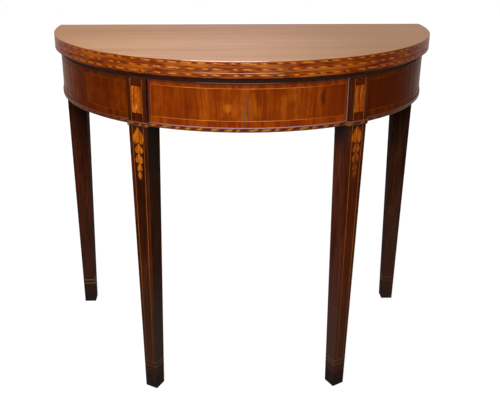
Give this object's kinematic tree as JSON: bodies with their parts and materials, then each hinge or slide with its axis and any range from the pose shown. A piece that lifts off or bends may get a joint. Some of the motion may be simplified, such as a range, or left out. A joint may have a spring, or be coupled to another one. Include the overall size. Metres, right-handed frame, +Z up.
{
  "type": "card table",
  "caption": "Demilune fold-over card table: half-round double top on square tapered legs, curved apron, rear legs on swinging gate rails.",
  "frame": {"origin": "floor under the middle of the closed table's outer box", "axes": "+Z up, +X to the right along the straight back edge, -Y toward the curved front"},
  "size_m": [0.8672, 0.4614, 0.745],
  "materials": {
    "polished_mahogany_top": "polished",
    "figured_mahogany_veneer": "polished",
    "dark_mahogany": "satin",
    "rope_banding": "satin",
    "satinwood_inlay": "polished",
    "pine_core": "matte",
    "oak_fly_rail": "matte",
    "aged_brass": "satin",
    "steel_pin": "satin"
  },
  "bodies": {
    "frame": {"lower_leaf": "polished_mahogany_top", "lower_leaf_banding": "rope_banding", "hinge_lower_left": "aged_brass", "hinge_pin_left": "steel_pin", "core_rail_left": "pine_core", "bay_veneer_left": "figured_mahogany_veneer", "apron_band_left": "rope_banding", "front_leg_left": "dark_mahogany", "stile_panel_left": "satinwood_inlay", "stile_band_left": "rope_banding", "knuckle_pin_left": "steel_pin", "rear_glue_block_left": "pine_core", "glue_block_left_inner": "pine_core", "glue_block_left_outer": "pine_core", "hinge_lower_right": "aged_brass", "hinge_pin_right": "steel_pin", "core_rail_right": "pine_core", "bay_veneer_right": "figured_mahogany_veneer", "apron_band_right": "rope_banding", "front_leg_right": "dark_mahogany", "stile_panel_right": "satinwood_inlay", "stile_band_right": "rope_banding", "knuckle_pin_right": "steel_pin", "rear_glue_block_right": "pine_core", "glue_block_right_inner": "pine_core", "glue_block_right_outer": "pine_core", "core_rail_centre": "pine_core", "bay_veneer_centre": "figured_mahogany_veneer", "apron_band_centre": "rope_banding", "rear_rail": "pine_core", "centre_brace": "pine_core", "knuckle_block": "oak_fly_rail"},
    "folding_leaf": {"upper_leaf": "polished_mahogany_top", "upper_leaf_top_banding": "rope_banding", "upper_leaf_foot_banding": "rope_banding", "hinge_upper_left": "aged_brass", "hinge_upper_right": "aged_brass"},
    "left_gate": {"fly_rail_left": "oak_fly_rail", "rear_leg_left": "dark_mahogany"},
    "right_gate": {"fly_rail_right": "oak_fly_rail", "rear_leg_right": "dark_mahogany"}
  },
  "joints": [
    {"name": "leaf_fold", "type": "hinge", "parent": "frame", "child": "folding_leaf", "pos_m": [0, 0.2275, 0.724], "axis": [-1, 0, 0], "range_deg": [0, 180]},
    {"name": "left_gate_swing", "type": "hinge", "parent": "frame", "child": "left_gate", "pos_m": [-0.08, 0.216, 0.6576], "axis": [0, 0, -1], "range_deg": [0, 90]},
    {"name": "right_gate_swing", "type": "hinge", "parent": "frame", "child": "right_gate", "pos_m": [0.08, 0.216, 0.6576], "axis": [0, 0, 1], "range_deg": [0, 90]}
  ]
}
